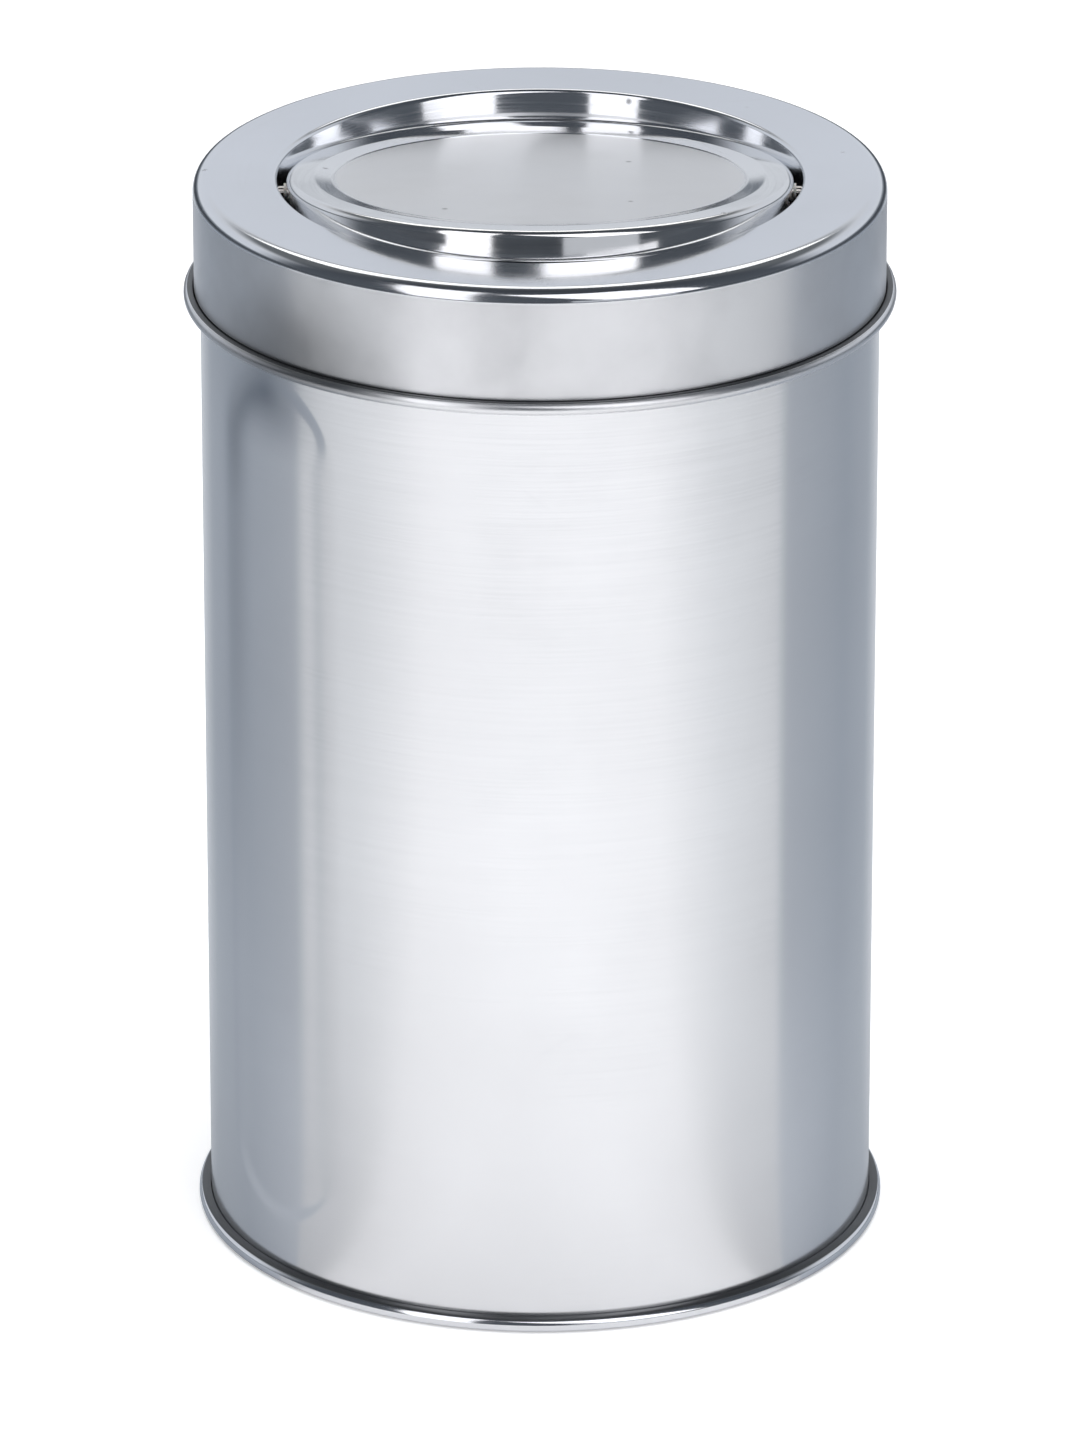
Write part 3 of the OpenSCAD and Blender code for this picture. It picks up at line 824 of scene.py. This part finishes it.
@dataclass
class Lid:
    """The drawn lid: neck, lip, flat top, shoulder, skirt and wired bead, with the pivots' metal.

    The neck leans in by its draw, from the lip downwards, and is upright below that. The bead's top
    carries painted shade from the angle shade_from on, above the level of its wire.
    """

    skirt_r: float = 60.0
    shoulder_r: float = 2.5
    bead_r: float = 1.15
    neck_draw: float = 0.95
    lip_r: float = 0.9
    lip_edge_r: float = 46.3
    neck_lean: float = 13.0
    neck_h: float = 9.5
    neck_bend: float = 9.0
    flange_w: float = 2.0
    flange_bend: float = 0.4
    shade_from: float = 58.0

    def build(self) -> None:
        """Makes the lid from one section and dresses the small metal in it."""
        low, high = box_of("lid_cover")
        half = SHEET_T / 2
        top = high[2] - half
        bead_x, bead_z = high[0] - self.bead_r, low[2] + self.bead_r
        foot = high[2] - self.neck_h + half
        lip_x, lip_z = self.lip_edge_r, high[2] - self.lip_r
        lip = arc(lip_x, lip_z, self.lip_r - half, 180 - self.neck_lean, 90, 5)
        neck = lip[0, 0] - self.neck_draw
        lean = self.neck_draw / math.tan(math.radians(self.neck_lean))
        shoulder_x, shoulder_z = self.skirt_r - self.shoulder_r, high[2] - self.shoulder_r
        path = joined(
            bent((neck + self.flange_w + half, foot, 0), (neck, foot, self.flange_bend),
                 (neck, lip[0, 1] - lean, self.neck_bend), (lip[0, 0], lip[0, 1], 0), step=3),
            lip,
            paired(np.linspace(lip_x, shoulder_x, 12), top),
            arc(shoulder_x, shoulder_z, self.shoulder_r - half, 90, 0, 4.5),
            paired(self.skirt_r - half, np.linspace(shoulder_z, bead_z, 16)),
            arc(bead_x, bead_z, self.bead_r - half, 180, 467, 9))
        lid = spun("lid_pressing", sheet(path, SHEET_T), even(320))
        dress(lid, LID_STEEL, SKIRT_STEEL, CREVICE_SHADE_STEEL)
        self._mark(lid, shoulder_z, bead_x, bead_z)
        finish_piece(lid, "lid", "lid_steel", "lid_cover")
        dress(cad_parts["lid_bead_wire"], WIRE_STEEL)
        for side in ("left", "right"):
            dress(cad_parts[f"{side}_pivot_plate"], INNER_STEEL)
            dress(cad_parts[f"{side}_pivot_pin"], PIN_STEEL)

    def _mark(self, lid: Object, shoulder_z: float, bead_x: float, bead_z: float) -> None:
        """Gives each face its finish.

        The skirt and its bead are satin. The bead's top is painted dark as shade, in the corner
        that it makes with the skirt.
        """
        faces = lid.data.polygons
        x, y, up = read(faces, "center").T / MM
        out = np.hypot(x, y)
        satin = (out > self.skirt_r - 1) & (up < shoulder_z)
        # Faces on the bead's top, in its corner with the skirt, get the painted shade.
        on_top = np.degrees(np.arctan2(up - bead_z, out - bead_x)) > self.shade_from
        dull = (out > self.skirt_r - 0.02) & on_top & (up < bead_z + self.bead_r + 0.25)
        faces.foreach_set("material_index", np.where(satin & dull, 2, satin).astype(np.int32))


@dataclass
class Flap:
    """The dished disc that swings in the opening."""

    dish_n: float = 2.4
    dish_r: float = 36.0
    slope_w: float = 3.0
    slope_bend: float = 3.0
    land_n: float = 2.9
    wall_r: float = 44.0
    foot_n: float = -2.5
    draft: float = 2.0
    edge_bend: float = 0.95
    ear_r: float = 3.2
    ear_fade: float = 0.5

    def build(self) -> None:
        """Makes the pan from one section, with an ear at each end of the pivot.

        The wall's lower rows are moved down near the pivot, to the lower half of a circle.
        """
        half = SHEET_T / 2
        dish, land = self.dish_n - half, self.land_n - half
        mid_r = self.wall_r - half
        corner = mid_r - (land - self.foot_n) * math.tan(math.radians(self.draft))
        land_r = self.dish_r + self.slope_w
        edge = bent((land_r + 1, land, 0), (corner, land, self.edge_bend),
                    (mid_r, self.foot_n, 0), step=6)
        inner = paired(np.linspace(0, self.dish_r - 1.2, 15), dish)
        slope = bent((self.dish_r - 1, dish, 0), (self.dish_r, dish, self.slope_bend),
                     (land_r, land, self.slope_bend), (land_r + 0.8, land, 0), step=2)
        low = edge[-2]
        wall = low + np.linspace(0, 1, 9)[:, None] * (np.array([mid_r, self.foot_n + half]) - low)
        section = sheet(joined(inner, slope, edge[:-1], wall), SHEET_T, from_axis=True)
        fine = math.degrees(1 / self.wall_r)
        zones = [(a, 4.2 * fine, 0.35 * fine) for a in (0, 180, 360)]
        angles = graded(0, 360, 1.5, *zones)[:-1]
        radius, height = repeated(section, angles)
        across = self.wall_r * np.sin(np.radians(angles))[None, :]
        ear = np.sqrt(np.maximum(self.ear_r ** 2 - across ** 2, 0))
        drop = np.maximum(ear + self.foot_n, 0)
        drop *= smooth((self.ear_r - np.abs(across)) / self.ear_fade)
        share = smooth((low[1] - height) / (low[1] - self.foot_n - 0.3)) * (radius > corner - 1)
        height = height - share * drop
        pan = turned("flap_dish", radius, height, angles, poles=True)
        rested(pan)
        dress(pan, FLAP_STEEL)
        finish_piece(pan, "flap", "flap_steel", "flap_pan")
        for side in ("left", "right"):
            dress(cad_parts[f"{side}_pivot_bush"], BUSH_PLASTIC)


def rested(thing: Object, aside: tuple[float, float] = (0.0, 0.0)) -> None:
    """Moves a mesh from the flap's own frame to where the flap rests, normals included.

    Args:
        thing: the object.
        aside: how far the mesh is first moved along the flap's X and Y.
    """
    mesh = thing.data
    a = math.radians(-TILT)
    turn = np.array([[1, 0, 0], [0, math.cos(a), -math.sin(a)], [0, math.sin(a), math.cos(a)]])
    normals = read(mesh.corner_normals, "vector") @ turn.T
    place = (read(mesh.vertices, "co") + np.array([*aside, 0]) * MM) @ turn.T + (0, 0, PIVOT_Z * MM)
    mesh.vertices.foreach_set("co", place.astype(np.float32).ravel())
    mesh.update()
    mesh.normals_split_custom_set(normals.tolist())


@dataclass
class Weight:
    """The bar under the flap, its two bent hangers and its rivets."""

    flap_under: float = 1.9
    drop: float = 3.6
    bar: Triple = (62.0, 10.0, 5.0)
    bar_edge: float = 0.7
    strip_t: float = 0.8
    strip_w: float = 10.0
    strip_foot: float = 8.0
    strip_bend: float = 0.9
    leg_x: float = 26.0
    rivet_r: float = 1.5
    head_r: float = 2.5
    head_h: float = 1.2

    def build(self) -> None:
        """Makes the pieces in the flap's own frame, off its middle by as much as in the CAD."""
        low, high = box_of("counterweight")
        a = math.radians(TILT)
        y, z = (low[1] + high[1]) / 2, (low[2] + high[2]) / 2 - PIVOT_Z
        off = y * math.cos(a) - z * math.sin(a)
        length, width, height = self.bar
        x, z, c = length / 2 - self.bar_edge, height / 2 - self.bar_edge, self.bar_edge
        middle = -self.drop - height / 2
        corners = ((1, 1, 0), (-1, 1, 90), (-1, -1, 180), (1, -1, 270))
        outline = joined(*(arc(right * x, middle + up * z, c, first, first + 90, 15)
                           for right, up, first in corners))
        bar = extruded("weight_bar", outline, width / 2, 0.6)
        self._add(bar, off, WEIGHT_STEEL, "weight_steel", "counterweight")
        for side, sign in (("left", -1), ("right", 1)):
            outline = self._strip() * (sign, 1)
            strip = extruded(f"{side}_hanger_strip", outline, self.strip_w / 2, 0.2)
            self._add(strip, off, INNER_STEEL, "inner_steel", f"{side}_weight_hanger")
            rivet = spun(f"{side}_rivet", self._rivet(), even(40), poles=True)
            aside = sign * (self.leg_x + self.strip_t - self.strip_foot / 2)
            self._add(rivet, off, PIN_STEEL, "pin_steel", "weight_rivets", aside)

    def _strip(self) -> Points:
        """Outline of the right hanger: a foot under the flap, a leg down, and a ledge inwards."""
        half, bend = self.strip_t / 2, self.strip_bend
        top, ledge = self.flap_under - half, half - self.drop
        leg = self.leg_x + half
        path = bent((self.leg_x + self.strip_foot - half, top, 0), (leg, top, bend),
                    (leg, ledge, bend), (leg + 2 * half - self.strip_foot, ledge, 0), step=15)
        return sheet(path, self.strip_t)

    def _rivet(self) -> Points:
        """Section of a rivet: a shank between two heads, each a quarter of an ellipse high."""
        a = np.radians(np.linspace(0, 90, 9))
        dome = paired(self.head_r * np.cos(a), self.head_h * np.sin(a))
        under, over = -self.drop - self.bar[2], self.strip_t - self.drop
        shank = np.array([[self.rivet_r, under], [self.rivet_r, over]])
        return joined(dome[::-1] * (1, -1) + (0, under), shank, dome + (0, over))

    def _add(self, thing: Object, off: float, finish: Steel, slot: str, node: str,
             aside: float = 0.0) -> None:
        """Puts a piece where it rests, and gives it its finish, body and node."""
        rested(thing, (aside, off))
        dress(thing, finish)
        finish_piece(thing, "flap", slot, node)


# Studio

# What the metal sees of the floor, by azimuth: far from the bin, and next to it.
FLOOR_TONES = [
    (0, (0.77, 0.77, 0.78)), (35, (0.72, 0.72, 0.73)), (62, (0.575, 0.585, 0.60)),
    (89, (0.475, 0.485, 0.50)), (92, (0.30, 0.32, 0.35)), (128, (0.235, 0.26, 0.295)),
    (150, (0.27, 0.295, 0.33)), (166, (0.45, 0.47, 0.50))]
NEAR_TONES = [
    (0, (0.665, 0.665, 0.675)), (35, (0.60, 0.60, 0.61)), (50, (0.50, 0.505, 0.515)),
    (62, (0.455, 0.46, 0.475)), (89, (0.42, 0.43, 0.445)), (92, (0.355, 0.375, 0.41)),
    (128, (0.285, 0.31, 0.345)), (150, (0.33, 0.355, 0.39)), (166, (0.50, 0.52, 0.55))]
# What it sees of the room, by elevation: behind the bin, and in front.
BEHIND_TONES = [
    (-10, (0.16, 0.18, 0.21)), (3, (0.16, 0.18, 0.21)), (6, (0.64, 0.67, 0.72)),
    (20, (0.61, 0.64, 0.70)), (28, (0.60, 0.62, 0.66)), (37, (0.14, 0.15, 0.16)),
    (90, (0.06, 0.065, 0.07))]
FRONT_TONES = [(-10, (0.09, 0.10, 0.115)), (15, (0.07, 0.08, 0.095)), (90, (0.045, 0.05, 0.06))]


@dataclass(frozen=True)
class Card:
    """A flat glowing card that faces the lid, of this width and height in degrees.

    Its top edge is this slant further right than its middle, and its bottom edge further left.
    """

    name: str
    azimuth: float
    elevation: float
    width: float
    height: float
    slant: float
    radiance: Colour

    def corners(self, aim: Vector, away: float) -> list[Vector]:
        """Its corners, where it stands this far away from the place that it faces, in metres."""
        a, e = math.radians(self.azimuth), math.radians(self.elevation)
        out = Vector((math.sin(a) * math.cos(e), -math.cos(a) * math.cos(e), math.sin(e)))
        right = Vector((math.cos(a), math.sin(a), 0))
        middle = aim + out * away
        x = right * away * math.tan(math.radians(self.width / 2))
        z = right.cross(-out) * away * math.tan(math.radians(self.height / 2))
        z += right * away * math.tan(math.radians(self.slant))
        return [middle - x - z, middle + x - z, middle + x + z, middle - x + z]


@dataclass
class Studio:
    """Camera, floor, world and the cards that the metal reflects.

    The metal sees the floor's near tones up to the first distance of near_m and the far ones from
    the second on, and the room's tone instead of the floor's beyond those of room_m.
    """

    lens: float = 262.5
    sensor: float = 36.0
    camera_y_m: float = -1.716
    camera_z_m: float = 0.784
    camera_pitch: float = 68.0
    aim_z_m: float = 0.19
    side_m: float = 0.04
    floor_m: float = 9.0
    floor_z_m: float = -5e-5
    near_m: tuple[float, float] = (0.06, 0.26)
    room_m: tuple[float, float] = (0.75, 1.1)
    room_tone: Colour = (0.09, 0.10, 0.115)
    floor_lift: float = 0.3
    lamp_size_m: float = 2.4
    lamp_watts: float = 55.0
    lamp_at_m: Triple = (0.2, -0.4, 2.4)
    card_away_m: float = 1.5
    cards: tuple[Card, ...] = (
        Card("softbox_left", -36, 27, 24, 66, -6, (1.3, 1.3, 1.35)),
        Card("softbox_right", 27, 32, 37, 54, -12, (1.4, 1.4, 1.45)),
        Card("fill_right", 27, -1, 34, 12, 0, (0.50, 0.52, 0.56)),
        Card("softbox_back", 180, 53, 50, 27, 0, (1.4, 1.4, 1.4)))

    def build(self) -> None:
        """Sets up everything around the bin."""
        self._camera()
        self._floor()
        self._world()
        for card in self.cards:
            corners = card.corners(Vector((0, 0, self.aim_z_m)), self.card_away_m)
            thing = self._plane(card.name, corners)
            thing.visible_camera = False
            thing.data.materials.append(self._glow(card.name, card.radiance))
        self._lamp()

    def _camera(self) -> None:
        """The photograph's view: 22 degrees down, from 1.7 metres in front."""
        data = bpy.data.cameras.new("camera")
        data.lens, data.sensor_width = self.lens, self.sensor
        data.clip_start, data.clip_end = 0.05, 60
        camera = placed("camera", data)
        camera.location = (0, self.camera_y_m, self.camera_z_m)
        camera.rotation_euler = (math.radians(self.camera_pitch), 0, 0)
        bpy.context.scene.camera = camera

    def _plane(self, name: str, corners: list[Vector]) -> Object:
        """A flat stage piece with these corners, in metres."""
        mesh = bpy.data.meshes.new(name)
        mesh.from_pydata(corners, [], [tuple(range(len(corners)))])
        thing = placed(name, mesh)
        return thing

    def _floor(self) -> None:
        """A wide pale floor, lifted to white, less its shadow.

        The metal sees it whitest straight ahead and greyer towards the sides, as a floor lit from
        the front, blue-grey from the bin's front quarters backwards, and dark where the room
        begins.
        """
        wide, z = self.floor_m, self.floor_z_m
        signs = ((-1, -1), (1, -1), (1, 1), (-1, 1))
        floor = self._plane("floor", [Vector((x * wide, y * wide, z)) for x, y in signs])
        n = Nodes(bpy.data.materials.new("floor_paper"))
        spot = n.add("TexCoord").outputs["Object"]
        x, y = n.add("SeparateXYZ", {0: spot}).outputs[:2]
        ray = n.add("LightPath")
        aside = n.math("MAXIMUM", n.math("SUBTRACT", n.math("ABSOLUTE", x), self.side_m), 0.0)
        turn = n.math("ARCTAN2", aside, n.math("MULTIPLY", n.math("ADD", y, self.side_m), -1.0))
        around = n.span(turn, 0.0, math.pi, 0.0, 1.0)
        away = n.length(spot)
        tone = self._ramp(n, around, FLOOR_TONES, 0.0, 180.0)
        near = self._ramp(n, around, NEAR_TONES, 0.0, 180.0)
        tone = n.mix(n.span(away, *self.near_m, 1.0, 0.0, soft=True), tone, near)
        tone = n.mix(n.span(away, *self.room_m, 0.0, 1.0, soft=True), tone, (*self.room_tone, 1))
        tone = n.mix(ray.outputs["Is Glossy Ray"], (1, 1, 1, 1), tone)
        grain = n.span(n.noise(spot, 90.0, 4.0), 0.0, 1.0, 0.90, 0.92)
        grain = n.add("CombineXYZ", {0: grain, 1: grain, 2: grain})
        pale = n.add("VectorMath", {0: tone, 1: grain}, operation="MULTIPLY")
        paper = n.add("BsdfDiffuse", {"Color": pale})
        seen = n.math("ADD", ray.outputs["Is Camera Ray"], ray.outputs["Is Glossy Ray"])
        seen = n.math("ADD", seen, ray.outputs["Is Transmission Ray"], clamp=True)
        strength = n.math("MULTIPLY", seen, self.floor_lift)
        lift = n.add("Emission", {"Color": tone, "Strength": strength})
        n.add("OutputMaterial", {"Surface": n.add("AddShader", {0: paper, 1: lift})})
        floor.data.materials.append(n.owner)

    def _world(self) -> None:
        """A dark room, with a pale backdrop behind the bin up to 30 degrees."""
        world = bpy.data.worlds.new("studio")
        bpy.context.scene.world = world
        n = Nodes(world)
        way = n.add("SeparateXYZ", {0: n.add("TexCoord").outputs["Generated"]})
        up = n.math("MULTIPLY", n.math("ARCSINE", way.outputs[2]), 180 / math.pi)
        share = n.span(up, -10, 90, 0, 1)
        behind = self._ramp(n, share, BEHIND_TONES)
        front = self._ramp(n, share, FRONT_TONES)
        side = n.span(way.outputs[1], -0.1, 0.35, 0, 1, soft=True)
        sky = n.mix(side, front, behind)
        n.add("OutputWorld", {"Surface": n.add("Background", {"Color": sky, "Strength": 1.0})})

    def _ramp(self, n: Nodes, share: Socket, stops: list[tuple[float, Colour]],
              low: float = -10.0, high: float = 90.0) -> Socket:
        """A colour by an angle, where share goes from 0 at the low angle to 1 at the high one."""
        node = n.add("ValToRGB", {0: share})
        ramp = node.color_ramp
        while len(ramp.elements) < len(stops):
            ramp.elements.new(0.5)
        for element, (up, colour) in zip(ramp.elements, stops):
            element.position = (up - low) / (high - low)
            element.color = (*colour, 1)
        return node.outputs[0]

    def _glow(self, name: str, radiance: Colour) -> Material:
        """A material that glows evenly."""
        n = Nodes(bpy.data.materials.new(name))
        glow = n.add("Emission", {"Color": (*radiance, 1), "Strength": 1.0})
        n.add("OutputMaterial", {"Surface": glow})
        return n.owner

    def _lamp(self) -> None:
        """A wide soft lamp overhead, which lights the floor and isn't seen in the metal."""
        data = bpy.data.lights.new("overhead", "AREA")
        data.shape, data.size, data.energy = "DISK", self.lamp_size_m, self.lamp_watts
        lamp = placed("overhead", data)
        lamp.location = self.lamp_at_m
        lamp.visible_glossy = lamp.visible_camera = False


def main() -> None:
    """Builds the studio, then the bin's pieces in order."""
    logging.basicConfig(level=logging.INFO, format="%(name)s: %(message)s")
    scene = bpy.context.scene
    scene.view_settings.view_transform = "Standard"
    Studio().build()
    Body().build()
    Foot().build()
    Lid().build()
    Flap().build()
    Weight().build()


if __name__ == "__main__":
    main()
